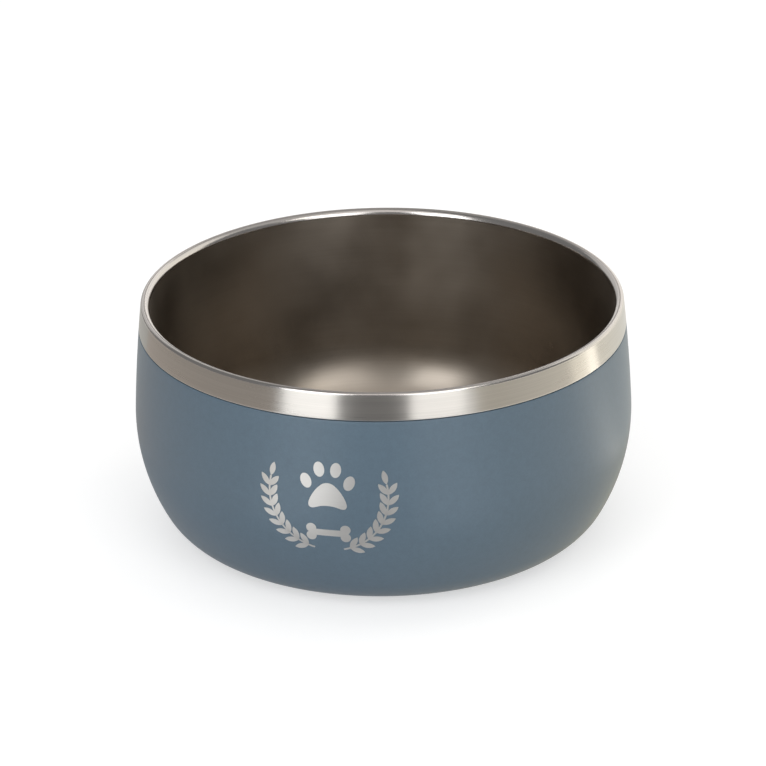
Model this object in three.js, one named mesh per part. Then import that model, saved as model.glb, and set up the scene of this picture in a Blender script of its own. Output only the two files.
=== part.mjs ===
// Double-wall stainless steel dog bowl: a drawn liner whose rim is rolled over a coated outer shell, with a
// welded base and a rubber foot ring. Millimetres, +Z up. The origin is on the table, under the middle of the
// bowl. Every section below is drawn in (distance from the axis, height above the table).

import * as THREE from 'three';

// Outside of the body
const mouthRadius = 90; // at the top of the rim band
const bellyBulge = 3.5; // the widest line stands out this far beyond the mouth
const bellyHeight = 47; // table to the widest line
const rimRise = 44.2; // from the widest line up to the top of the lip
const bandHeight = 10.3; // bare rim band, measured down from the top of the lip
const wallArcRadius = 640; // long arc of the wall between the belly and the rim
const flatInset = 27.4; // from the widest line in to the edge of the flat underside
const underCornerRadius = 21; // between the flat underside and the belly
const cornerLimitShare = 0.9; // the most of the inset that this corner may take

// Sheet metal
const sheet = 0.6;
const clearance = 0.3; // left in each seam
const samePoint = 0.001; // stretches of a section whose ends are this close share one point
const pressBend = 0.4; // inside radius of a pressed bend
const coinedBend = 0.2; // inside radius of the rim's sharp outer edge

// Liner
const lipGap = 0.9; // between the liner and the neck of the shell, under the lip
const lipFlat = 0.3; // flat on top of the lip
const floorCornerRadius = 28;
const wallDraft = THREE.MathUtils.degToRad(1.2); // taper of the liner's wall

// Base
const footStand = 1.2; // the foot ring stands this far below the metal
const shellLand = 1.5; // flat of the shell round its opening
const collarHeight = 3; // turned-in edge of that opening
const plateLand = 0.6; // flat of the plate between its flange and the channel
const channelWall = 0.4; // straight part of the channel's side
const ringWidth = 9;
const ringEdgeRadius = 1;
const exhaustRadius = 0.8; // hole in the middle of the dimple

// Vacuum fittings
const beadRadius = 2.6;
const beadHeight = 0.7;
const beadMargin = 1.4; // flat of the dimple's roof round the bead
const beadRecess = 0.2; // the bead ends this far above the underside
const getterRadius = 4.5;
const getterHeight = 3;
const getterChamfer = 0.4;
const getterOffset = 25; // from the axis
const clipSheet = 0.4;
const clipWidth = 5;
const clipFoot = 4;
const fittingGap = 2.1; // between the clip and the liner's floor

// Facets round the axis, and steps in the arcs of a section
const bodySegments = 60;
const baseSegments = 48;
const fittingSegments = 24;
const wallSteps = 3;
const bellySteps = 5;
const underCornerSteps = 6;
const floorCornerSteps = 8;
const rollSteps = 4;
const edgeSteps = 2;
const domeSteps = 4;

const quarterTurn = Math.PI / 2;

// Sections

const point = (radius, height) => new THREE.Vector2(radius, height);

function onCircle(centre, radius, angle) {
  return point(centre.x + radius * Math.cos(angle), centre.y + radius * Math.sin(angle));
}

function angleTo(from, to) {
  return Math.atan2(to.y - from.y, to.x - from.x);
}

// Points along an arc, with both its ends.
function arc(centre, radius, from, to, steps) {
  const stations = Array.from({ length: steps + 1 }, (_, i) => i / steps);
  return stations.map((share) => onCircle(centre, radius, THREE.MathUtils.lerp(from, to, share)));
}

// One path from several stretches, in which an end that two stretches share comes once.
function joined(...stretches) {
  const path = stretches.flat();
  return path.filter((at, i) => i === 0 || at.distanceTo(path[i - 1]) > samePoint);
}

// A path through the given corners, with each inner corner bent. The sheet lies to the right of the path, so a
// bend towards the right is on the outside of the sheet and gains its thickness.
function bent(corners, bend, thickness, steps) {
  const path = [corners[0]];
  for (let i = 1; i < corners.length - 1; i++) {
    const before = corners[i].clone().sub(corners[i - 1]).normalize();
    const after = corners[i + 1].clone().sub(corners[i]).normalize();
    const turn = Math.atan2(before.cross(after), before.dot(after));
    const radius = turn < 0 ? bend + thickness : bend;
    const start = corners[i].clone().addScaledVector(before, -radius * Math.tan(Math.abs(turn) / 2));
    const left = point(-before.y, before.x);
    const centre = start.clone().addScaledVector(left, Math.sign(turn) * radius);
    const from = angleTo(centre, start);
    path.push(...arc(centre, radius, from, from + turn, steps));
  }
  path.push(corners[corners.length - 1]);
  return path;
}

// Closed outline of a sheet of even thickness laid to the right of a path.
function sheetOutline(path, thickness) {
  const rightOf = (from, to) => {
    const along = to.clone().sub(from).normalize();
    return point(along.y, -along.x);
  };
  const farSide = path.map((at, i) => {
    const before = i > 0 ? rightOf(path[i - 1], at) : rightOf(at, path[i + 1]);
    const after = i < path.length - 1 ? rightOf(at, path[i + 1]) : before;
    const middle = before.clone().add(after).normalize();
    return at.clone().addScaledVector(middle, thickness / middle.dot(before));
  });
  return [...path, ...farSide.reverse()];
}

// Solid turned from an outline that closes on itself, or that starts and ends on the axis.
function turned(outline, segments) {
  const sides = outline[0].x === 0 ? [...outline] : [...outline, outline[0]];
  if (THREE.ShapeUtils.area(outline) < 0) sides.reverse();
  return new THREE.LatheGeometry(sides, segments).rotateX(quarterTurn);
}

// Centre of the arc that holds two circles inside it and touches both, on the side of the axis.
function enclosingCentre(radius, lower, lowerRadius, upper, upperRadius) {
  const lowerReach = radius - lowerRadius;
  const upperReach = radius - upperRadius;
  const span = lower.distanceTo(upper);
  const cosine = (span ** 2 + lowerReach ** 2 - upperReach ** 2) / (2 * span * lowerReach);
  return onCircle(lower, lowerReach, angleTo(lower, upper) + Math.acos(cosine));
}

// Body profile: the underside, its corner, the belly, the long wall and the rim's edge, each an arc that runs
// smoothly into the next.

const underside = footStand;
const rimHeight = bellyHeight + rimRise;
const bellyRadius = mouthRadius + bellyBulge;
const underCorner = Math.min(underCornerRadius, cornerLimitShare * flatInset);
const flatRadius = bellyRadius - flatInset;
const underCornerCentre = point(flatRadius, underside + underCorner);
const cornerRise = bellyHeight - underCornerCentre.y;
const bellyArcRadius =
  (flatInset ** 2 + cornerRise ** 2 - underCorner ** 2) / (2 * (flatInset - underCorner));
const bellyCentre = point(bellyRadius - bellyArcRadius, bellyHeight);

const rimEdgeRadius = coinedBend + sheet;
const rimEdgeCentre = point(mouthRadius - rimEdgeRadius, rimHeight - rimEdgeRadius);
const wallCentre = enclosingCentre(
  wallArcRadius, bellyCentre, bellyArcRadius, rimEdgeCentre, rimEdgeRadius);

const cornerToBelly = angleTo(bellyCentre, underCornerCentre);
const bellyToWall = angleTo(wallCentre, bellyCentre);
const wallToRim = angleTo(wallCentre, rimEdgeCentre);
const wallAngleAt = (height) => Math.asin((height - wallCentre.y) / wallArcRadius);

const bandBottom = rimHeight - bandHeight;

// Inner bowl: the liner's floor and wall, then the lip rolled over and the band turned down outside.

const plateTop = underside + sheet + clearance;
const floorHeight = plateTop + getterHeight + clearance + clipSheet + fittingGap + sheet;
const lipWidth = 3 * sheet + clearance + lipGap;
const rollRadius = lipWidth - rimEdgeRadius - lipFlat;
const rollCentre = point(rimEdgeCentre.x - lipFlat, rimHeight - rollRadius);

function innerBowl() {
  const floorCornerHeight = floorHeight + floorCornerRadius;
  const wallTop = onCircle(rollCentre, rollRadius, Math.PI - wallDraft);
  const taper = Math.sin(wallDraft) * (wallTop.y - floorCornerHeight);
  const floorCornerCentre = point(
    wallTop.x - (floorCornerRadius + taper) / Math.cos(wallDraft), floorCornerHeight);
  const path = joined(
    [point(0, floorHeight)],
    arc(floorCornerCentre, floorCornerRadius, -quarterTurn, -wallDraft, floorCornerSteps),
    arc(rollCentre, rollRadius, Math.PI - wallDraft, quarterTurn, rollSteps),
    arc(rimEdgeCentre, rimEdgeRadius, quarterTurn, wallToRim, edgeSteps),
    arc(wallCentre, wallArcRadius, wallToRim, wallAngleAt(bandBottom), 1));
  return turned(sheetOutline(path, sheet), bodySegments);
}

// Outer shell: the neck that goes up inside the rim band, a step out to the face of the body, the belly and the
// flat underside, whose opening has a turned-in collar.

const stepDepth = sheet + clearance;
const openingRadius = flatRadius - shellLand - pressBend - sheet;

function outerShell() {
  const neckRadius = wallArcRadius - stepDepth;
  const neckTop = rollCentre.y;
  const stepTop = bandBottom + clearance * (1 - Math.SQRT2);
  const stepBottom = stepTop - stepDepth;
  const onNeck = (height) => onCircle(wallCentre, neckRadius, wallAngleAt(height));
  const wall = arc(wallCentre, wallArcRadius, wallAngleAt(stepBottom), bellyToWall, wallSteps);
  const step = bent([onNeck(neckTop), onNeck(stepTop), wall[0], wall[1]], pressBend, sheet, 1);
  const collar = [
    point(flatRadius, underside),
    point(openingRadius, underside),
    point(openingRadius, underside + collarHeight),
  ];
  const path = joined(
    step,
    wall.slice(1),
    arc(bellyCentre, bellyArcRadius, bellyToWall, cornerToBelly, bellySteps),
    arc(underCornerCentre, underCorner, cornerToBelly, -quarterTurn, underCornerSteps),
    bent(collar, pressBend, sheet, edgeSteps));
  return turned(sheetOutline(path, sheet), bodySegments);
}

// Base plate: a flange that nests in the collar, the channel that holds the foot ring, and the dimple with the
// exhaust hole in the middle.

const plateRadius = openingRadius - clearance;
const channelOuter = plateRadius - 2 * (pressBend + sheet) - plateLand;
const channelInner = channelOuter - ringWidth - 2 * clearance;
const channelRoof = underside + 2 * pressBend + sheet + channelWall;
const dimpleDepth = clearance + beadHeight + beadRecess;
const dimpleRoof = underside + dimpleDepth;
const dimpleRoofRadius = beadRadius + beadMargin;

function basePlate() {
  const flange = [
    point(plateRadius, underside + collarHeight),
    point(plateRadius, underside),
    point(channelOuter, underside),
  ];
  const channel = [
    point(plateRadius - pressBend - sheet, underside),
    point(channelOuter, underside),
    point(channelOuter, channelRoof),
    point(channelInner, channelRoof),
    point(channelInner, underside),
    point(dimpleRoofRadius + dimpleDepth, underside),
  ];
  const dimple = [point(dimpleRoofRadius, dimpleRoof), point(exhaustRadius, dimpleRoof)];
  const path = joined(
    bent(flange, pressBend, sheet, edgeSteps).slice(0, -1), bent(channel, pressBend, sheet, 1), dimple);
  return turned(sheetOutline(path, sheet), baseSegments);
}

// Non-slip ring: moulded rubber bonded into the channel, rounded where it meets the table.

function nonSlipRing() {
  const outer = channelOuter - clearance;
  const inner = outer - ringWidth;
  const top = channelRoof - clearance;
  const section = [point(outer, top), point(outer, 0), point(inner, 0), point(inner, top)];
  return turned(bent(section, ringEdgeRadius, 0, edgeSteps), baseSegments);
}

// Sealing bead: solder glass that closes the exhaust hole, a low dome that hangs in the dimple.

function sealingBead() {
  const top = dimpleRoof - clearance;
  const domeRadius = (beadRadius ** 2 + beadHeight ** 2) / (2 * beadHeight);
  const domeCentre = point(0, top - beadHeight + domeRadius);
  const edge = angleTo(domeCentre, point(beadRadius, top));
  const dome = arc(domeCentre, domeRadius, edge, -quarterTurn, domeSteps);
  dome[dome.length - 1].x = 0;
  return turned([point(0, top), ...dome], fittingSegments);
}

// Getter: a sintered pill on the base plate, between the walls.

function getter() {
  const shoulder = getterRadius - getterChamfer;
  const top = getterHeight;
  const outline = [
    point(0, 0),
    point(shoulder, 0),
    point(getterRadius, getterChamfer),
    point(getterRadius, top - getterChamfer),
    point(shoulder, top),
    point(0, top),
  ];
  return turned(outline, fittingSegments);
}

// Getter clip: a strip bent over the pill, with a foot on each side that is spot-welded to the base plate.

function getterClip() {
  const leg = getterRadius + clearance;
  const top = getterHeight + clearance;
  const toe = leg + clipFoot;
  const path = bent(
    [point(toe, 0), point(leg, 0), point(leg, top), point(-leg, top), point(-leg, 0), point(-toe, 0)],
    clipSheet, clipSheet, 1);
  const shape = new THREE.Shape(sheetOutline(path, clipSheet));
  const strip = new THREE.ExtrudeGeometry(shape, { depth: clipWidth, bevelEnabled: false });
  return strip.translate(0, 0, -clipWidth / 2).rotateX(quarterTurn);
}

// Materials

const brushedSteel = new THREE.MeshStandardMaterial({ color: 0xbdb9b3, roughness: 0.3, metalness: 1 });
const slateCoat = new THREE.MeshStandardMaterial({ color: 0x647380, roughness: 0.45, metalness: 0 });
const millSteel = new THREE.MeshStandardMaterial({ color: 0xa9a8a5, roughness: 0.4, metalness: 1 });
const blackRubber = new THREE.MeshStandardMaterial({ color: 0x232427, roughness: 0.85, metalness: 0 });
const solderGlass = new THREE.MeshStandardMaterial({ color: 0x3a332c, roughness: 0.2, metalness: 0 });
const sinteredMetal = new THREE.MeshStandardMaterial({ color: 0x6c6a67, roughness: 0.7, metalness: 0.8 });
const springSteel = new THREE.MeshStandardMaterial({ color: 0xb4b2ad, roughness: 0.35, metalness: 1 });

// Assembly

function piece(name, geometry, material) {
  const mesh = new THREE.Mesh(geometry, material);
  mesh.name = name;
  return mesh;
}

const getterSeat = new THREE.Group();
getterSeat.position.set(getterOffset, 0, plateTop);
getterSeat.add(
  piece('getter', getter(), sinteredMetal),
  piece('getter_clip', getterClip(), springSteel));

const bowl = new THREE.Group();
bowl.add(
  piece('inner_bowl', innerBowl(), brushedSteel),
  piece('outer_shell', outerShell(), slateCoat),
  piece('base_plate', basePlate(), millSteel),
  piece('non_slip_ring', nonSlipRing(), blackRubber),
  piece('sealing_bead', sealingBead(), solderGlass),
  getterSeat);

export default bowl;
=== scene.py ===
import math

import bmesh
import bpy
from mathutils import Matrix, Vector


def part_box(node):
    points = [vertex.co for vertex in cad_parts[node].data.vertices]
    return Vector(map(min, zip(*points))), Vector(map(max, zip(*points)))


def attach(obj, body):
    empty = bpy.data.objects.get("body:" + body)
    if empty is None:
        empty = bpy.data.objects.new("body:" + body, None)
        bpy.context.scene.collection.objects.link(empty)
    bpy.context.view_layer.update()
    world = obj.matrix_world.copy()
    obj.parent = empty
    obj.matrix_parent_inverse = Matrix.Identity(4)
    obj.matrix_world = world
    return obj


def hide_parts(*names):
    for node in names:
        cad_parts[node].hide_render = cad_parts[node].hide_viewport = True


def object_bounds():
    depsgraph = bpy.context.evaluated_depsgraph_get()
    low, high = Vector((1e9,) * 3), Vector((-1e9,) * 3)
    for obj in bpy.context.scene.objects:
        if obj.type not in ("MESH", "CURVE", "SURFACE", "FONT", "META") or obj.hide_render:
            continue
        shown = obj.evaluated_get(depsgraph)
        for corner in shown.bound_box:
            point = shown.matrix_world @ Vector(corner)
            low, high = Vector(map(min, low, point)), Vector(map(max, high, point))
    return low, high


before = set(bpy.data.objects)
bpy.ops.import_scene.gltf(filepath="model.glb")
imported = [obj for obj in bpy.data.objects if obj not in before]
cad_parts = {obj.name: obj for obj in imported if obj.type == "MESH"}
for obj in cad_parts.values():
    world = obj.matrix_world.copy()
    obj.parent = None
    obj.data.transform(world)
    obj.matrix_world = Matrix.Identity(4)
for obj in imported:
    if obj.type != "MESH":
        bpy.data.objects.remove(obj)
cad_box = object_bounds()


# Camera
# A long lens in front of the bowl and a little above it. It stands round towards the right, so that the laser
# mark on the front is seen left of the middle, and it leans by less than a degree.

camera_turn = math.radians(12.8)
camera_rise = math.radians(23.79)
camera_lean = math.radians(-0.756)
camera_distance = 1.8
aim_height = 0.0557
aim_aside = -0.00010
lens = 224.4  # in millimetres, as Blender takes it, for its 36 mm sensor


def towards(turn, rise):
    """Direction from the bowl: turn goes round from the front to the right, rise is above the table."""
    return Vector((math.sin(turn) * math.cos(rise), -math.cos(turn) * math.cos(rise), math.sin(rise)))


camera_back = towards(camera_turn, camera_rise)
camera_right = towards(camera_turn + math.pi / 2, 0)
camera = bpy.data.objects.new("camera", bpy.data.cameras.new("camera"))
camera.data.lens = lens
camera.data.clip_end = 20
upright = (-camera_back).to_track_quat("-Z", "Y").to_matrix().to_4x4()
camera.matrix_world = (
    Matrix.Translation(camera_back * camera_distance + camera_right * aim_aside + Vector((0, 0, aim_height)))
    @ upright @ Matrix.Rotation(camera_lean, 4, "Z"))
bpy.context.scene.collection.objects.link(camera)
bpy.context.scene.camera = camera
bpy.context.scene.view_settings.view_transform = "Standard"


# Floor and background
# A white table top that runs on into a white background. Cameras and shiny metal see it white, and the table
# keeps the soft shadow under the bowl.

floor_reach = 6.0
floor_drop = 0.00005  # so that the floor and the foot ring on it never share a plane
floor_colour = (0.76, 0.76, 0.76, 1)
seen_colour = (0.54, 0.54, 0.54, 1)  # how pale the table looks under the lamps
seen_glow = 0.55  # the plain white that is added to it
ambient = 0.50  # light that the background gives, where 1 is its white
white = (1, 1, 1, 1)


class Value:
    """A socket that sums can be written on: each operator adds its Math node."""

    def __init__(self, shader, socket):
        self.shader = shader
        self.socket = socket

    def maths(self, operation, first, second):
        return self.shader.node("Math", {"operation": operation}, {0: first, 1: second})

    def __add__(self, other):
        return self.maths("ADD", self, other)

    def __radd__(self, other):
        return self.maths("ADD", other, self)

    def __sub__(self, other):
        return self.maths("SUBTRACT", self, other)

    def __rsub__(self, other):
        return self.maths("SUBTRACT", other, self)

    def __mul__(self, other):
        return self.maths("MULTIPLY", self, other)

    def __rmul__(self, other):
        return self.maths("MULTIPLY", other, self)

    def __pow__(self, other):
        return self.maths("POWER", self, other)

    def __gt__(self, other):
        return self.maths("GREATER_THAN", self, other)


class Shader:
    """The nodes of one material, or of the world."""

    def __init__(self, owner):
        owner.use_nodes = True
        self.owner = owner
        self.tree = owner.node_tree
        self.tree.nodes.clear()

    def node(self, kind, settings=None, inputs=None, output=0):
        """A node with its settings and the values or links of its sockets. Gives the named output."""
        made = self.tree.nodes.new("ShaderNode" + kind)
        for name, setting in (settings or {}).items():
            setattr(made, name, setting)
        for name, value in (inputs or {}).items():
            if isinstance(value, Value):
                self.tree.links.new(value.socket, made.inputs[name])
            else:
                made.inputs[name].default_value = value
        return Value(self, made.outputs[output]) if made.outputs else None

    def blend(self, factor, one, other):
        """One colour where the factor is 0, the other where it is 1."""
        return self.node("Mix", {"data_type": "RGBA"}, {0: factor, 6: one, 7: other}, 2)

    def seen_directly(self):
        """1 for a camera and for what shiny or clear things show of the surface, 0 for the light it gives."""
        rays = [self.node("LightPath", output=name)
                for name in ("Is Camera Ray", "Is Glossy Ray", "Is Transmission Ray")]
        return (rays[0] + rays[1] + rays[2]) > 0


def set_piece(name, mesh, material):
    """A sheet of the set, which is not a part of the object."""
    data = bpy.data.meshes.new(name)
    mesh.to_mesh(data)
    mesh.free()
    data.materials.append(material)
    made = bpy.data.objects.new(name, data)
    bpy.context.scene.collection.objects.link(made)
    return made


table_top = Shader(bpy.data.materials.new("table_top"))
lit = table_top.node("BsdfDiffuse", None, {"Color": floor_colour})
lit_as_seen = table_top.node("BsdfDiffuse", None, {"Color": seen_colour})
glow = table_top.node("Emission", None, {"Color": white, "Strength": seen_glow})
both = table_top.node("AddShader", None, {0: lit_as_seen, 1: glow})
table_top.node("OutputMaterial", None, {
    "Surface": table_top.node("MixShader", None, {0: table_top.seen_directly(), 1: lit, 2: both})})
table = bmesh.new()
bmesh.ops.create_grid(
    table, x_segments=1, y_segments=1, size=floor_reach / 2, matrix=Matrix.Translation((0, 0, -floor_drop)))
set_piece("floor", table, table_top.owner)

backdrop = Shader(bpy.data.worlds.new("backdrop"))
bpy.context.scene.world = backdrop.owner
light_level = backdrop.seen_directly() * (1 - ambient) + ambient
sky = backdrop.node("Background", None, {"Color": white, "Strength": light_level})
backdrop.node("OutputWorld", None, {"Surface": sky})


# Lamps
# Soft boxes such as a product is photographed with: a wide one overhead, two tall ones in front, a small one
# between them and one at the back right. The band mirrors the two tall ones as its bright stretches. Turns
# are counted from the camera.

lamp_aim = Vector((0, 0, 0.05))


def soft_box(name, turn, rise, distance, width, height, strength, colour=(1, 1, 1), mirrored=True):
    """A rectangular lamp that faces the bowl. Its strength is what a white card would shine with."""
    lamp = bpy.data.lights.new(name, "AREA")
    lamp.shape = "RECTANGLE"
    lamp.size = width
    lamp.size_y = height
    lamp.energy = strength * math.pi * width * height
    lamp.color = colour
    made = bpy.data.objects.new(name, lamp)
    out = towards(camera_turn + math.radians(turn), math.radians(rise))
    made.location = lamp_aim + out * distance
    made.rotation_euler = out.to_track_quat("Z", "Y").to_euler()
    made.visible_camera = False
    made.visible_glossy = mirrored
    bpy.context.scene.collection.objects.link(made)


soft_box("overhead", 180, 75, 1.6, 1.4, 1.4, 1.0, mirrored=False)
soft_box("front_left", -32.5, 26, 1.3, 0.57, 1.2, 2.85, (0.985, 1.0, 1.01))
soft_box("front_fill", -2, 34, 1.5, 0.5, 0.5, 3.0, mirrored=False)
soft_box("front_right", 23.8, 26, 1.3, 0.58, 1.2, 2.05)
soft_box("back_right", 118, 26, 1.3, 0.5, 1.1, 2.0, (1, 0.95, 0.82), mirrored=False)


# Room and cards
# What the steel mirrors besides the lamps: the room round the table, dim in front and with daylight at the
# back right, its ceiling, and cards that lie on the table. Only reflections show them. Turns are counted
# from the camera.

room_radius = 2.0
horizon_height = 0.3
wall_height = 1.5
slope_radius = 1.7
slope_height = 2.0
ceiling_height = 2.3
card_inner = 0.14
card_near_inner = 0.075
card_outer = 0.45
card_lift = 0.002
card_steps = 24


def mirrored_only(name, inner, outer, first_turn, last_turn, shade, last_shade=None):
    """A strip between two circles round the bowl, each given as radius and height, from turn to turn. It may
    shade over from one colour to another."""
    first_angle = camera_turn + math.radians(first_turn)
    angle = math.radians(last_turn - first_turn)
    strip = bmesh.new()
    points = [strip.verts.new(towards(first_angle, 0) * radius + Vector((0, 0, height)))
              for radius, height in (inner, outer)]
    edge = strip.edges.new(points)
    bmesh.ops.spin(
        strip, geom=points + [edge], cent=(0, 0, 0), axis=(0, 0, 1), angle=angle, steps=card_steps)
    paint = Shader(bpy.data.materials.new(name))
    colour = (*shade, 1)
    if last_shade:
        place = paint.node("TexCoord", output="Object")
        x, y, z = [paint.node("SeparateXYZ", None, {0: place}, side) for side in "XYZ"]
        turned_so_far = x.maths("ARCTAN2", x, y * -1) - first_angle
        colour = paint.blend(turned_so_far * (1 / angle), colour, (*last_shade, 1))
    paint.node("OutputMaterial", None, {
        "Surface": paint.node("Emission", None, {"Color": colour, "Strength": 1})})
    made = set_piece(name, strip, paint.owner)
    for ray in ("camera", "diffuse", "transmission", "shadow", "volume_scatter"):
        setattr(made, "visible_" + ray, False)


dim = (0.2, 0.2, 0.2)
dusk = (0.36, 0.35, 0.34)
half_lit = (0.5, 0.49, 0.48)
daylight = (1.0, 0.98, 0.93)
near_table = (card_near_inner, card_lift), (card_inner, card_lift)
table_cards = (card_inner, card_lift), (card_outer, card_lift)
far_table = (card_outer, card_lift), (room_radius, 0)
horizon = (room_radius, 0), (room_radius, horizon_height)
wall = (room_radius, horizon_height), (room_radius, wall_height)
high_wall = (room_radius, wall_height), (slope_radius, slope_height)
ceiling = (slope_radius, slope_height), (0, ceiling_height)
mirrored_only("near_left", *near_table, -200, -10, (0.42, 0.42, 0.43))
mirrored_only("near_right", *near_table, -10, 90, (0.42, 0.42, 0.43), (0.9, 0.82, 0.62))
mirrored_only("near_far_right", *near_table, 90, 160, (0.9, 0.82, 0.62), (0.42, 0.42, 0.43))
mirrored_only("card_middle", *table_cards, -18.5, 10.5, (0.2, 0.2, 0.205))
mirrored_only("card_left", *table_cards, -127, -43, (0.61, 0.545, 0.49))
mirrored_only("card_far_left", *table_cards, -170, -127, (0.66, 0.66, 0.63))
mirrored_only("card_right", *table_cards, 37, 60, (0.68, 0.63, 0.54), (0.9, 0.85, 0.76))
mirrored_only("card_beside", *table_cards, 60, 85, (0.9, 0.85, 0.76), (1.1, 1.04, 0.92))
mirrored_only("card_glare", *table_cards, 85, 96, (1.7, 1.61, 1.4))
mirrored_only("card_streak", *table_cards, 96, 103.5, (2.5, 2.4, 2.15))
mirrored_only("card_far_right", *table_cards, 103.5, 165, (1.0, 0.97, 0.87), (0.93, 0.96, 0.95))
mirrored_only("far_middle", *far_table, -18.5, 10.5, dim)
mirrored_only("far_left", *far_table, -146, -43, (0.28, 0.27, 0.26))
mirrored_only("far_back_left", *far_table, -165, -146, half_lit)
mirrored_only("far_right", *far_table, 37, 165, (0.95, 0.91, 0.8))
mirrored_only("horizon_front", *horizon, -146, 100, dim)
mirrored_only("horizon_left", *horizon, 195, 214, half_lit)
mirrored_only("horizon_back_left", *horizon, 184, 195, (1.0, 0.98, 0.95))
mirrored_only("horizon_back", *horizon, 176, 184, half_lit)
mirrored_only("horizon_back_right", *horizon, 126, 176, daylight)
mirrored_only("horizon_window", *horizon, 100, 126, (1.45, 1.4, 1.25))
mirrored_only("wall_front", *wall, -135, 100, dim)
mirrored_only("wall_left", *wall, 193, 235, (0.62, 0.61, 0.6))
mirrored_only("wall_back_left", *wall, 184, 193, (0.85, 0.83, 0.81))
mirrored_only("wall_back", *wall, 176, 184, (0.38, 0.37, 0.36))
mirrored_only("wall_back_right", *wall, 150, 176, (1.25, 1.21, 1.16), (0.8, 0.78, 0.76))
mirrored_only("wall_window", *wall, 100, 150, (1.1, 1.07, 0.98))
mirrored_only("high_wall_front", *high_wall, -150, 34, dim)
mirrored_only("high_wall_key", *high_wall, 34, 52, (3.0, 2.95, 2.8))
mirrored_only("high_wall_beside", *high_wall, 52, 100, dim)
mirrored_only("high_wall_back", *high_wall, 150, 210, dusk)
mirrored_only("high_wall_right", *high_wall, 100, 150, daylight)
mirrored_only("ceiling_front", *ceiling, -60, 60, (0.87, 0.84, 0.82))
mirrored_only("ceiling_right", *ceiling, 60, 150, half_lit)
mirrored_only("ceiling_back", *ceiling, 150, 210, dusk)
mirrored_only("ceiling_left", *ceiling, 210, 300, dim)


# Liner
# The bowl that is eaten from: one disc of stainless steel, deep drawn and spun smooth, its rim rolled over to
# a lip and turned down outside as the bare band. Satin inside, polished on the lip, brushed on the band, and
# burnished on the hem where the band ends. The inside is coloured darker and browner than the other steel as
# painted shade, and the burnished hem much paler as a painted highlight.

mouth_radius = 0.0904
sheet = 0.0006
seam = 0.0003  # left between two pieces that touch
rim_edge_radius = 0.0011
lip_width = 0.0034
lip_flat = 0.0001
band_height = 0.0103
wall_arc_radius = 0.64
floor_corner_radius = 0.028
wall_draft = math.radians(1.2)
hem_edge_radius = 0.00035
hem_inside_radius = 0.00015
steps_round = 320
quarter = math.pi / 2

liner_low, liner_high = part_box("inner_bowl")
shell_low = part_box("outer_shell")[0]
rim_height = liner_high.z
stepped_short = 0.0001  # the CAD section goes past the widest line in steps, and stays this much inside it
belly_radius = cad_box[1].x + stepped_short
belly_height = 0.047


def on_circle(centre, radius, angle):
    return (centre[0] + radius * math.cos(angle), centre[1] + radius * math.sin(angle))


def angle_to(start, end):
    return math.atan2(end[1] - start[1], end[0] - start[0])


class Section:
    """Half a section of a turned piece, in the XZ plane, drawn on from its last point."""

    def __init__(self, radius, height):
        self.mesh = bmesh.new()
        self.tip = self.mesh.verts.new((radius, 0, height))
        self.first = self.tip

    def line(self, radius, height):
        if math.dist((radius, height), (self.tip.co.x, self.tip.co.z)) > 1e-6:
            self.tip = bmesh.ops.extrude_vert_indiv(self.mesh, verts=[self.tip])["verts"][0]
            self.tip.co = (radius, 0, height)
        return self

    def arc(self, centre, turn, steps):
        """Goes round a centre, from the radius towards the height where the turn is above zero."""
        made = bmesh.ops.spin(
            self.mesh, geom=[self.tip], cent=(centre[0], 0, centre[1]), axis=(0, -1, 0), angle=turn,
            steps=steps)
        self.tip = made["geom_last"][0]
        return self

    def closed(self):
        self.mesh.edges.new((self.tip, self.first))
        return self

    def rounded(self, corners, radius, segments=3):
        """Rounds the corners of the section that lie nearest to the given points."""
        near = [min(self.mesh.verts, key=lambda v: math.dist((v.co.x, v.co.z), corner)) for corner in corners]
        bmesh.ops.bevel(
            self.mesh, geom=near, offset=radius, segments=segments, profile=0.5, affect="VERTICES",
            material=-1)
        return self


class Bend:
    """A round stretch of a sheet. The side is 1 where the metal lies outside its arc, -1 where inside."""

    def __init__(self, centre, radius, start, end, steps, side):
        self.centre = centre
        self.radius = radius
        self.start = start
        self.end = end
        self.steps = steps
        self.side = side


def sheet_section(first, bends, last, thickness):
    """Section of a sheet: along its face through the bends, and back along its other side. The first and last
    points each come as a pair, on the face and on the other side."""
    section = Section(*first[0])
    for bend in bends:
        section.line(*on_circle(bend.centre, bend.radius, bend.start))
        section.arc(bend.centre, bend.end - bend.start, bend.steps)
    section.line(*last[0]).line(*last[1])
    for bend in reversed(bends):
        radius = bend.radius + bend.side * thickness
        section.line(*on_circle(bend.centre, radius, bend.end))
        section.arc(bend.centre, bend.start - bend.end, bend.steps)
    return section.line(*first[1])


def turned(section, steps=steps_round):
    """The solid that a section sweeps round the axis: an eighth of it, doubled three times."""
    mesh = section.mesh
    bmesh.ops.spin(
        mesh, geom=mesh.verts[:] + mesh.edges[:], cent=(0, 0, 0), axis=(0, 0, 1), angle=quarter / 2,
        steps=steps // 8)
    for turn in (quarter / 2, quarter, 2 * quarter):
        copy = bmesh.ops.duplicate(mesh, geom=mesh.verts[:] + mesh.edges[:] + mesh.faces[:])["geom"]
        bmesh.ops.rotate(
            mesh, verts=[part for part in copy if isinstance(part, bmesh.types.BMVert)], cent=(0, 0, 0),
            matrix=Matrix.Rotation(turn, 3, "Z"))
    bmesh.ops.remove_doubles(mesh, verts=mesh.verts[:], dist=1e-6)
    bmesh.ops.recalc_face_normals(mesh, faces=mesh.faces[:])
    return mesh


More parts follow.
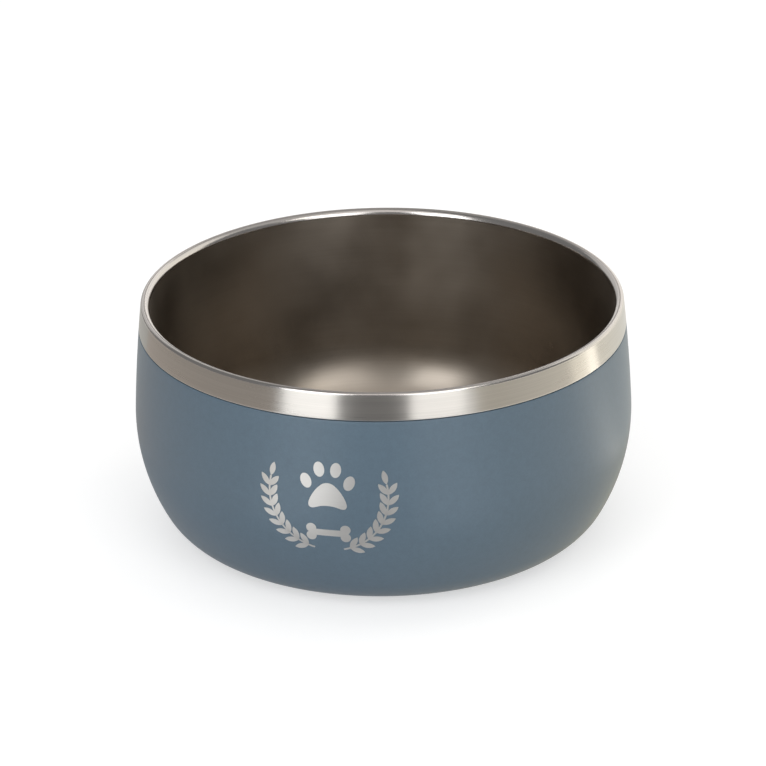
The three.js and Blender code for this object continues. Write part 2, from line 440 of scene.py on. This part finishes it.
def piece(name, mesh, finishes, replaces=None, sharp_angle=40):
    """The finished piece as an object that rides on the bowl."""
    data = bpy.data.meshes.new(name)
    mesh.to_mesh(data)
    mesh.free()
    data.shade_smooth()
    data.set_sharp_from_angle(angle=math.radians(sharp_angle))
    made = bpy.data.objects.new(name, data)
    bpy.context.scene.collection.objects.link(made)
    for finish in finishes:
        data.materials.append(finish)
    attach(made, "root")
    if replaces:
        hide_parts(replaces)
    return made


def enclosing_centre(radius, lower, lower_radius, upper, upper_radius):
    """Centre of the long arc that holds two smaller arcs inside it and touches both."""
    lower_reach = radius - lower_radius
    upper_reach = radius - upper_radius
    span = math.dist(lower, upper)
    cosine = (span ** 2 + lower_reach ** 2 - upper_reach ** 2) / (2 * span * lower_reach)
    return on_circle(lower, lower_reach, angle_to(lower, upper) + math.acos(cosine))


# The face of the body is a chain of arcs that touch: underside corner, belly, long wall, edge of the rim.
underside = shell_low.z
flat_inset = 0.0274
under_corner_radius = 0.021
under_corner = (belly_radius - flat_inset, underside + under_corner_radius)
corner_rise = belly_height - under_corner[1]
belly_arc_radius = ((flat_inset ** 2 + corner_rise ** 2 - under_corner_radius ** 2)
                    / (2 * (flat_inset - under_corner_radius)))
belly_centre = (belly_radius - belly_arc_radius, belly_height)
rim_edge = (mouth_radius - rim_edge_radius, rim_height - rim_edge_radius)
wall_centre = enclosing_centre(wall_arc_radius, belly_centre, belly_arc_radius, rim_edge, rim_edge_radius)
corner_to_belly = angle_to(belly_centre, under_corner)
belly_to_wall = angle_to(wall_centre, belly_centre)
wall_to_rim = angle_to(wall_centre, rim_edge)


def wall_angle(height):
    return math.asin((height - wall_centre[1]) / wall_arc_radius)


band_bottom = rim_height - band_height
roll_radius = lip_width - rim_edge_radius - lip_flat
roll = (rim_edge[0] - lip_flat, rim_height - roll_radius)
bowl_floor = liner_low.z + sheet
wall_top = on_circle(roll, roll_radius, math.pi - wall_draft)
corner_height = bowl_floor + floor_corner_radius
taper = math.sin(wall_draft) * (wall_top[1] - corner_height)
floor_corner = (wall_top[0] - (floor_corner_radius + taper) / math.cos(wall_draft), corner_height)

band_end = on_circle(wall_centre, wall_arc_radius, wall_angle(band_bottom))
band_end_inside = on_circle(wall_centre, wall_arc_radius - sheet, wall_angle(band_bottom))
liner_section = sheet_section(
    [(0, bowl_floor), (0, bowl_floor - sheet)],
    [Bend(floor_corner, floor_corner_radius, -quarter, -wall_draft, 24, 1),
     Bend(roll, roll_radius, math.pi - wall_draft, quarter, 18, -1),
     Bend(rim_edge, rim_edge_radius, quarter, wall_to_rim, 14, -1),
     Bend(wall_centre, wall_arc_radius, wall_to_rim, wall_angle(band_bottom), 10, -1)],
    [band_end, band_end_inside], sheet)
liner_section.rounded([band_end], hem_edge_radius).rounded([band_end_inside], hem_inside_radius)


scratch_depth = 0.000003
smear_contrast = 1.5


def steel(name, colour, roughness, grain, directional, streak=0.03, mark_width=0.00012, haze=0.12):
    """Stainless steel with fine marks that run round the bowl, each a streak long. The grain is how far they
    shade the metal, directional how much more the reflections spread across the marks than along them, and
    haze how far wiped smears cloud the steel."""
    shader = Shader(bpy.data.materials.new(name))
    place = shader.node("TexCoord", output="Object")
    x, y, z = [shader.node("SeparateXYZ", None, {0: place}, side) for side in "XYZ"]
    radius = (x * x + y * y) ** 0.5
    across = (z + radius) * (1 / mark_width)
    along = 1 / streak
    fine = shader.node("CombineXYZ", None, {0: x * along, 1: y * along, 2: across})
    marks = shader.node("TexNoise", None, {"Vector": fine, "Scale": 1.0, "Detail": 2.0})
    wide = shader.node("CombineXYZ", None, {0: x * (along / 2), 1: y * (along / 2), 2: across * 0.15})
    bands = shader.node("TexNoise", None, {"Vector": wide, "Scale": 1.0, "Detail": 2.0})
    cloud = shader.node("TexNoise", None, {"Vector": place, "Scale": 28.0, "Detail": 3.0})
    shading = (marks * 0.6 + bands * 0.4 - 0.5) * (2 * grain)
    smears = (cloud - 0.5) * (smear_contrast * haze)
    dark = tuple(part * 0.5 for part in colour)
    pale = tuple(min(1, part * 1.5) for part in colour)
    tint = shader.blend(0.5 + shading + smears, (*dark, 1), (*pale, 1))
    dull = (cloud - 0.5) * haze + shading * 0.3 + roughness
    relief = shader.node(
        "Bump", None, {"Strength": 0.2, "Distance": scratch_depth, "Height": marks + bands}, "Normal")
    surface = shader.node("BsdfPrincipled", None, {
        "Base Color": tint, "Metallic": 1.0, "Roughness": dull, "Anisotropic": directional,
        "Anisotropic Rotation": 0.25, "Normal": relief})
    shader.node("OutputMaterial", None, {"Surface": surface})
    return shader.owner


steel_colour = (0.60, 0.575, 0.54)
# Painted shade: the inside steel is given a darker, browner colour than the band's steel.
satin_inside_painted_shade = steel("satin_inside_painted_shade", (0.345, 0.304, 0.26), 0.35, 0.10, 0.4, haze=0.3)
brushed_band = steel("brushed_band", steel_colour, 0.30, 0.20, 1.0, streak=0.05, mark_width=0.00024)
polished_lip = steel("polished_lip", (0.66, 0.63, 0.605), 0.19, 0.05, 0.3)
# Painted highlight: the round of the hem is given a far paler steel colour than the band, so that it shows as
# a bright line.
hem_painted_highlight = steel("hem_painted_highlight", (0.95, 0.93, 0.90), 0.32, 0.03, 0.0)

# The brushing starts just under the edge of the lip, and ends above the burnished round of the hem, whose
# much paler steel colour is a painted highlight.
brushed_outside = rim_edge[0] + 0.8 * rim_edge_radius
brushed_below = rim_edge[1] + 0.1 * rim_edge_radius
painted_highlight_below = band_bottom + 0.8 * hem_edge_radius
liner_mesh = turned(liner_section)
for face in liner_mesh.faces:
    centre = face.calc_center_median()
    outside = math.hypot(centre.x, centre.y) > brushed_outside
    if outside and centre.z < painted_highlight_below:
        face.material_index = 3
    elif outside and centre.z < brushed_below:
        face.material_index = 1
    elif centre.z > roll[1]:
        face.material_index = 2
piece("liner", liner_mesh, [satin_inside_painted_shade, brushed_band, polished_lip, hem_painted_highlight],
      "inner_bowl")


# Outer shell
# The body: a second stainless steel bowl with its belly, its neck stepped in under the rim band so that the
# band lies flush with the face, powder coated in slate blue. The opening underneath has a turned-in collar.

coat_gap = 0.00025  # bare line between the band and the coat
coat_edge_radius = 0.00012
press_bend = 0.0004
shell_land = 0.0015
collar_height = 0.003
step_depth = sheet + seam
neck_top = roll[1]
face_top = band_bottom - coat_gap
opening_radius = under_corner[0] - shell_land - press_bend - sheet
collar_bend = (opening_radius + press_bend + sheet, underside + press_bend + sheet)
neck_radius = wall_arc_radius - step_depth

shell_section = Section(*on_circle(wall_centre, neck_radius, wall_angle(neck_top)))
shell_section.line(*on_circle(wall_centre, neck_radius, wall_angle(face_top)))
face_corner = on_circle(wall_centre, wall_arc_radius, wall_angle(face_top))
shell_section.line(*face_corner)
shell_section.arc(wall_centre, belly_to_wall - wall_angle(face_top), 24)
shell_section.arc(belly_centre, corner_to_belly - belly_to_wall, 36)
shell_section.arc(under_corner, -quarter - corner_to_belly, 24)
shell_section.line(collar_bend[0], underside)
shell_section.arc(collar_bend, -quarter, 6)
shell_section.line(opening_radius, underside + collar_height)
shell_section.line(opening_radius + sheet, underside + collar_height)
shell_section.line(opening_radius + sheet, collar_bend[1])
shell_section.arc(collar_bend, quarter, 6)
shell_section.line(under_corner[0], underside + sheet)
shell_section.arc(under_corner, quarter + corner_to_belly, 24)
shell_section.arc(belly_centre, belly_to_wall - corner_to_belly, 36)
inner_top = wall_angle(face_top - sheet)
shell_section.arc(wall_centre, inner_top - belly_to_wall, 24)
shell_section.line(*on_circle(wall_centre, neck_radius - sheet, inner_top))
shell_section.line(*on_circle(wall_centre, neck_radius - sheet, wall_angle(neck_top)))
shell_section.closed()
shell_section.rounded([face_corner], coat_edge_radius)


def powder_coat(name, colour):
    """Powder paint baked on: satin, with the fine grain of its powder and a slow waviness."""
    shader = Shader(bpy.data.materials.new(name))
    place = shader.node("TexCoord", output="Object")
    grain = shader.node("TexNoise", None, {"Vector": place, "Scale": 1500.0, "Detail": 3.0})
    flow = shader.node("TexNoise", None, {"Vector": place, "Scale": 420.0, "Detail": 2.0})
    cloud = shader.node("TexNoise", None, {"Vector": place, "Scale": 22.0, "Detail": 2.0})
    tone = 0.5 + (grain - 0.5) * 0.8 + (flow - 0.5) * 0.6 + (cloud - 0.5) * 0.25
    dark = tuple(part * 0.86 for part in colour)
    pale = tuple(part * 1.14 for part in colour)
    relief = shader.node(
        "Bump", None, {"Strength": 0.35, "Distance": 0.00002, "Height": grain * 0.6 + flow}, "Normal")
    surface = shader.node("BsdfPrincipled", None, {
        "Base Color": shader.blend(tone, (*dark, 1), (*pale, 1)), "Roughness": (grain - 0.5) * 0.1 + 0.40,
        "Metallic": 0.0, "IOR": 1.54, "Sheen Weight": 0.08, "Sheen Roughness": 0.5, "Normal": relief})
    shader.node("OutputMaterial", None, {"Surface": surface})
    return shader.owner


slate = powder_coat("slate_coat", (0.0765, 0.119, 0.158))
piece("coated_shell", turned(shell_section), [slate], "outer_shell")


# Laser mark
# A paw print between two sprigs of leaves, with a bone under it. A laser has taken the coat off there, down
# to the bare steel of the shell, which it leaves matt and pale.

mark_middle = 0.0465  # height of its middle above the table
mark_proud = 0.00004
mark_depth = 0.00008
mark_grid = 0.0015  # the flat shapes are cut up this finely to follow the belly
wreath_radius = 0.0222
wreath_lift = 0.0050  # its centre above the middle of the mark
wreath_start, wreath_end = math.radians(-76), math.radians(14)
stem_width = 0.0007
leaf_length = 0.0056
leaf_width = 0.0022
leaf_pairs = 8
leaf_spread = math.radians(38)
first_leaf_share = 0.6  # of the step from leaf to leaf, up from the foot of the stem
paw_width = 0.0200
paw_lift = 0.0085
pad_shares = ((0, 0.15), (-0.29, -0.11), (-0.40, -0.46), (0, -0.33), (0.40, -0.46), (0.29, -0.11))
pad_round_share = 0.17
toe_shares = ((-0.40, 0.10, 20), (-0.155, 0.34, 7), (0.155, 0.34, -7), (0.40, 0.10, -20))
toe_width_share = 0.20
toe_height_share = 0.29
bone_length = 0.0165
bone_lift = -0.0098
bone_knob = 0.0019
bone_shaft = 0.0026
bone_knob_share = 0.85  # of its radius, from the middle of the bone up to the middle of a knob


def face_radius(height):
    """Radius of the shell's face at a height on the belly or the wall."""
    if height < belly_centre[1] + belly_arc_radius * math.sin(belly_to_wall):
        return belly_centre[0] + math.sqrt(belly_arc_radius ** 2 - (height - belly_centre[1]) ** 2)
    return wall_centre[0] + math.sqrt(wall_arc_radius ** 2 - (height - wall_centre[1]) ** 2)


def stamp(mark, shape, across=0.0, up=0.0, turn=0.0):
    """Fills a flat outline and adds it to the mark, turned and moved within its plane."""
    if not shape.faces:
        bmesh.ops.contextual_create(shape, geom=shape.edges[:])
    place = Matrix.Translation((across, 0, up)) @ Matrix.Rotation(-turn, 4, "Y")
    bmesh.ops.transform(shape, matrix=place, verts=shape.verts[:])
    flat = bpy.data.meshes.new("flat")
    shape.to_mesh(flat)
    shape.free()
    mark.from_mesh(flat)
    bpy.data.meshes.remove(flat)


def leaf():
    """A pointed leaf between two arcs, from its foot at the origin along the X axis."""
    sag = leaf_width / 2
    radius = (leaf_length ** 2 / 4 + sag ** 2) / (2 * sag)
    half_turn = math.asin(leaf_length / 2 / radius)
    outline = Section(0, 0)
    outline.arc((leaf_length / 2, sag - radius), -2 * half_turn, 10)
    outline.arc((leaf_length / 2, radius - sag), -2 * half_turn, 10)
    bmesh.ops.remove_doubles(outline.mesh, verts=outline.mesh.verts[:], dist=1e-6)
    return outline.mesh


def stem(side):
    """The curved stem of one sprig, on the right where the side is 1 and on the left where it is -1."""
    start = wreath_start if side > 0 else math.pi - wreath_start
    turn = (wreath_end - wreath_start) * side
    outline = Section(*on_circle((0, 0), wreath_radius + stem_width / 2, start))
    outline.arc((0, 0), turn, 40)
    outline.line(*on_circle((0, 0), wreath_radius - stem_width / 2, start + turn))
    outline.arc((0, 0), -turn, 40)
    return outline.closed().mesh


def pad():
    """The large pad of the paw: a rounded hump over two lobes."""
    corners = [(across * paw_width, up * paw_width) for across, up in pad_shares]
    outline = Section(*corners[0])
    for corner in corners[1:]:
        outline.line(*corner)
    return outline.closed().rounded(corners, pad_round_share * paw_width, 12).mesh


def toe():
    mesh = bmesh.new()
    size = Matrix.Diagonal((toe_width_share * paw_width / 2, 1, toe_height_share * paw_width / 2, 1))
    bmesh.ops.create_circle(
        mesh, cap_ends=True, segments=40, radius=1, matrix=size @ Matrix.Rotation(quarter, 4, "X"))
    return mesh


def bone():
    """A bone, from a quarter of its outline: half the shaft and one round knob."""
    knob = (bone_length / 2 - bone_knob, bone_knob * bone_knob_share)
    meet = math.asin((knob[1] - bone_shaft / 2) / bone_knob)
    notch = math.asin(bone_knob_share)
    outline = Section(0, bone_shaft / 2).line(*on_circle(knob, bone_knob, math.pi + meet))
    outline.arc(knob, -(math.pi + meet + notch), 24)
    for axis in "ZX":
        bmesh.ops.mirror(
            outline.mesh, geom=outline.mesh.verts[:] + outline.mesh.edges[:], matrix=Matrix(),
            merge_dist=1e-5, axis=axis)
    return outline.mesh


mark = bmesh.new()
stamp(mark, pad(), up=paw_lift)
for across, up, lean in toe_shares:
    stamp(mark, toe(), across * paw_width, up * paw_width + paw_lift, math.radians(lean))
stamp(mark, bone(), up=bone_lift)
for side in (1, -1):
    stamp(mark, stem(side), up=wreath_lift)
    for step in range(leaf_pairs + 1):
        along = (step + first_leaf_share) / (leaf_pairs + first_leaf_share)
        turn = wreath_start + (wreath_end - wreath_start) * along
        foot = on_circle((0, wreath_lift), wreath_radius, turn)
        for lean in (-leaf_spread, leaf_spread) if step < leaf_pairs else (0,):
            heading = turn + quarter + lean
            if side < 0:
                heading = math.pi - heading
            stamp(mark, leaf(), side * foot[0], foot[1], heading)

bmesh.ops.translate(mark, vec=(0, 0, mark_middle), verts=mark.verts[:])
bmesh.ops.triangulate(mark, faces=mark.faces[:])
for axis in (Vector((1, 0, 0)), Vector((0, 0, 1))):
    places = [v.co @ axis for v in mark.verts]
    cuts = int((max(places) - min(places)) / mark_grid)
    for cut in range(cuts):
        bmesh.ops.bisect_plane(
            mark, geom=mark.verts[:] + mark.edges[:] + mark.faces[:], plane_no=axis,
            plane_co=axis * (min(places) + (cut + 0.5) * mark_grid))
bmesh.ops.recalc_face_normals(mark, faces=mark.faces[:])
for vertex in mark.verts:
    radius = face_radius(vertex.co.z)
    out = towards(vertex.co.x / radius, 0) * (radius + mark_proud)
    vertex.co = Vector((out.x, out.y, vertex.co.z))
bmesh.ops.recalc_face_normals(mark, faces=mark.faces[:])
if sum(face.normal.y for face in mark.faces) > 0:
    bmesh.ops.reverse_faces(mark, faces=mark.faces[:])
bmesh.ops.solidify(mark, geom=mark.faces[:], thickness=mark_depth)
bared = steel("laser_bared_steel", (0.74, 0.71, 0.66), 0.45, 0.06, 0.4)
piece("laser_mark", mark, [bared])


# Base plate
# A pressed disc of stainless steel, welded into the opening under the shell after the walls are fitted. It
# has a channel for the foot ring, and in the middle a dimple with the hole that the air was drawn out of.

plate_radius = opening_radius - seam
plate_land = 0.0006
channel_outer = plate_radius - 2 * (press_bend + sheet) - plate_land
ring_width = 0.009
channel_inner = channel_outer - ring_width - 2 * seam
channel_straight = 0.0004  # upright stretch of its walls, between their two bends
channel_roof = underside + 2 * press_bend + sheet + channel_straight
bead_radius = 0.0026
bead_height = 0.0007
dimple_depth = 0.0012
dimple_roof = underside + dimple_depth
dimple_margin = 0.0014
dimple_flat = bead_radius + dimple_margin
exhaust_radius = 0.0008


def corner_bends(corners, inner_radius, thickness, steps=6):
    """The bends of a pressed sheet that lies to the right of a path through these corners."""
    bends = []
    for before, corner, after in zip(corners, corners[1:], corners[2:]):
        heading = angle_to(before, corner)
        turn = (angle_to(corner, after) - heading + math.pi) % (2 * math.pi) - math.pi
        side = math.copysign(1, turn)
        radius = inner_radius if turn > 0 else inner_radius + thickness
        start = on_circle(corner, -radius * math.tan(abs(turn) / 2), heading)
        centre = on_circle(start, radius, heading + side * quarter)
        first = heading - side * quarter
        bends.append(Bend(centre, radius, first, first + turn, steps, side))
    return bends


plate_corners = [
    (plate_radius, underside + collar_height), (plate_radius, underside), (channel_outer, underside),
    (channel_outer, channel_roof), (channel_inner, channel_roof), (channel_inner, underside),
    (dimple_flat + dimple_depth, underside), (dimple_flat, dimple_roof), (exhaust_radius, dimple_roof)]
plate_section = sheet_section(
    [plate_corners[0], (plate_radius - sheet, underside + collar_height)],
    corner_bends(plate_corners, press_bend, sheet),
    [plate_corners[-1], (exhaust_radius, dimple_roof + sheet)], sheet).closed()
mill_steel = steel("mill_steel", (0.55, 0.545, 0.53), 0.38, 0.08, 0.5, streak=0.012)
piece("pressed_base", turned(plate_section), [mill_steel], "base_plate")


# Base weld
# The seam between the plate's flange and the collar of the shell, closed by a laser weld all the way round.
# It shows as a narrow bead at the bottom of the groove between the two bends.

weld_radius = 0.00035
weld_share = 0.7  # of the thickness of the sheet, up from where the bends end inside
weld_height = underside + press_bend + sheet * weld_share
weld_centre = (plate_radius + seam / 2, weld_height)
weld_section = Section(weld_centre[0] + weld_radius, weld_centre[1]).arc(weld_centre, 2 * math.pi, 12)
welded = steel("welded_steel", (0.46, 0.44, 0.42), 0.45, 0.15, 0.0, streak=0.0012, mark_width=0.0006)
piece("base_weld", turned(weld_section), [welded])


# Foot ring
# A moulded ring of black rubber, bonded into the channel of the base plate. The bowl stands on it, so it
# keeps the bowl from sliding and the steel off the floor.

ring_outer = channel_outer - seam
ring_inner = ring_outer - ring_width
ring_top = channel_roof - seam
ring_edge = 0.001
ring_corners = [(ring_outer, 0), (ring_inner, 0)]
ring_section = Section(ring_outer, ring_top).line(*ring_corners[0]).line(*ring_corners[1])
ring_section.line(ring_inner, ring_top).closed().rounded(ring_corners, ring_edge, 8)


def moulded_rubber(name, colour):
    """Rubber from a sparked mould: nearly matt, with a fine even texture and a little dust in it."""
    shader = Shader(bpy.data.materials.new(name))
    place = shader.node("TexCoord", output="Object")
    texture = shader.node("TexNoise", None, {"Vector": place, "Scale": 1800.0, "Detail": 2.0})
    dust = shader.node("TexNoise", None, {"Vector": place, "Scale": 60.0, "Detail": 4.0})
    pale = tuple(part * 2.2 for part in colour)
    relief = shader.node("Bump", None, {"Strength": 0.5, "Distance": 0.00004, "Height": texture}, "Normal")
    surface = shader.node("BsdfPrincipled", None, {
        "Base Color": shader.blend(dust * 0.5 + texture * 0.2, (*colour, 1), (*pale, 1)),
        "Roughness": 0.72 + dust * 0.2, "Normal": relief})
    shader.node("OutputMaterial", None, {"Surface": surface})
    return shader.owner


black_rubber = moulded_rubber("black_rubber", (0.016, 0.016, 0.017))
piece("foot_ring", turned(ring_section), [black_rubber], "non_slip_ring")


# Sealing bead
# A drop of solder glass that was melted over the exhaust hole in the vacuum furnace. It hangs as a low glossy
# dome in the dimple.

dome_radius = (bead_radius ** 2 + bead_height ** 2) / (2 * bead_height)
bead_rim = dimple_roof - seam
dome_centre = (0, bead_rim - bead_height + dome_radius)
dome_half_turn = math.asin(bead_radius / dome_radius)
bead_section = Section(0, dimple_roof).line(bead_radius, dimple_roof).line(bead_radius, bead_rim)
bead_section.arc(dome_centre, -dome_half_turn, 12)


def fused_glass(name, colour):
    """Dark solder glass, glossy from the melt, with faint swirls and a few dull specks."""
    shader = Shader(bpy.data.materials.new(name))
    place = shader.node("TexCoord", output="Object")
    swirl = shader.node(
        "TexNoise", None, {"Vector": place, "Scale": 500.0, "Detail": 3.0, "Distortion": 1.2})
    pale = tuple(part * 1.8 for part in colour)
    relief = shader.node("Bump", None, {"Strength": 0.3, "Distance": 0.00003, "Height": swirl}, "Normal")
    surface = shader.node("BsdfPrincipled", None, {
        "Base Color": shader.blend(swirl, (*colour, 1), (*pale, 1)), "Roughness": 0.1 + swirl * 0.2,
        "IOR": 1.6, "Normal": relief})
    shader.node("OutputMaterial", None, {"Surface": surface})
    return shader.owner


solder_glass = fused_glass("solder_glass", (0.035, 0.028, 0.022))
piece("sealing_drop", turned(bead_section), [solder_glass], "sealing_bead")


# Getter
# A pill of sintered metal powder between the walls. It takes up the last gas, and so keeps the vacuum that
# makes the bowl hold its temperature.

getter_radius = 0.0045
getter_height = 0.003
getter_edge = 0.0004
getter_offset = 0.025
getter_steps = 48
plate_top = underside + sheet + seam
getter_corners = [(getter_radius, plate_top), (getter_radius, plate_top + getter_height)]
getter_section = Section(0, plate_top).line(*getter_corners[0]).line(*getter_corners[1])
getter_section.line(0, plate_top + getter_height).rounded(getter_corners, getter_edge, 1)


def sintered_powder(name, colour):
    """Pressed and sintered metal powder: rough, grey, with pores."""
    shader = Shader(bpy.data.materials.new(name))
    place = shader.node("TexCoord", output="Object")
    pores = shader.node("TexVoronoi", None, {"Vector": place, "Scale": 3000.0})
    pale = tuple(part * 1.5 for part in colour)
    relief = shader.node("Bump", None, {"Strength": 0.6, "Distance": 0.00005, "Height": pores}, "Normal")
    surface = shader.node("BsdfPrincipled", None, {
        "Base Color": shader.blend(pores, (*colour, 1), (*pale, 1)), "Metallic": 0.8,
        "Roughness": 0.8 - pores * 0.2, "Normal": relief})
    shader.node("OutputMaterial", None, {"Surface": surface})
    return shader.owner


getter_mesh = turned(getter_section, getter_steps)
bmesh.ops.translate(getter_mesh, vec=(getter_offset, 0, 0), verts=getter_mesh.verts[:])
sintered_metal = sintered_powder("sintered_metal", (0.14, 0.135, 0.13))
piece("getter_pill", getter_mesh, [sintered_metal], "getter")


# Getter clip
# A strip of spring steel bent over the getter, with a foot on each side that is spot-welded to the base
# plate.

clip_sheet = 0.0004
clip_width = 0.005
clip_foot = 0.004
leg = getter_radius + seam
clip_top = getter_height + seam
clip_corners = [
    (leg + clip_foot, 0), (leg, 0), (leg, clip_top), (-leg, clip_top), (-leg, 0), (-leg - clip_foot, 0)]
clip_section = sheet_section(
    [clip_corners[0], (leg + clip_foot, clip_sheet)], corner_bends(clip_corners, clip_sheet, clip_sheet),
    [clip_corners[-1], (-leg - clip_foot, clip_sheet)], clip_sheet).closed()
clip_mesh = clip_section.mesh
strip = bmesh.ops.contextual_create(clip_mesh, geom=clip_mesh.edges[:])["faces"]
pulled = bmesh.ops.extrude_face_region(clip_mesh, geom=strip)["geom"]
bmesh.ops.translate(
    clip_mesh, vec=(0, clip_width, 0),
    verts=[part for part in pulled if isinstance(part, bmesh.types.BMVert)])
bmesh.ops.translate(clip_mesh, vec=(getter_offset, -clip_width / 2, plate_top), verts=clip_mesh.verts[:])
bmesh.ops.recalc_face_normals(clip_mesh, faces=clip_mesh.faces[:])
spring_steel = steel("spring_steel", (0.5, 0.49, 0.47), 0.35, 0.06, 0.3)
piece("spring_clip", clip_mesh, [spring_steel], "getter_clip")
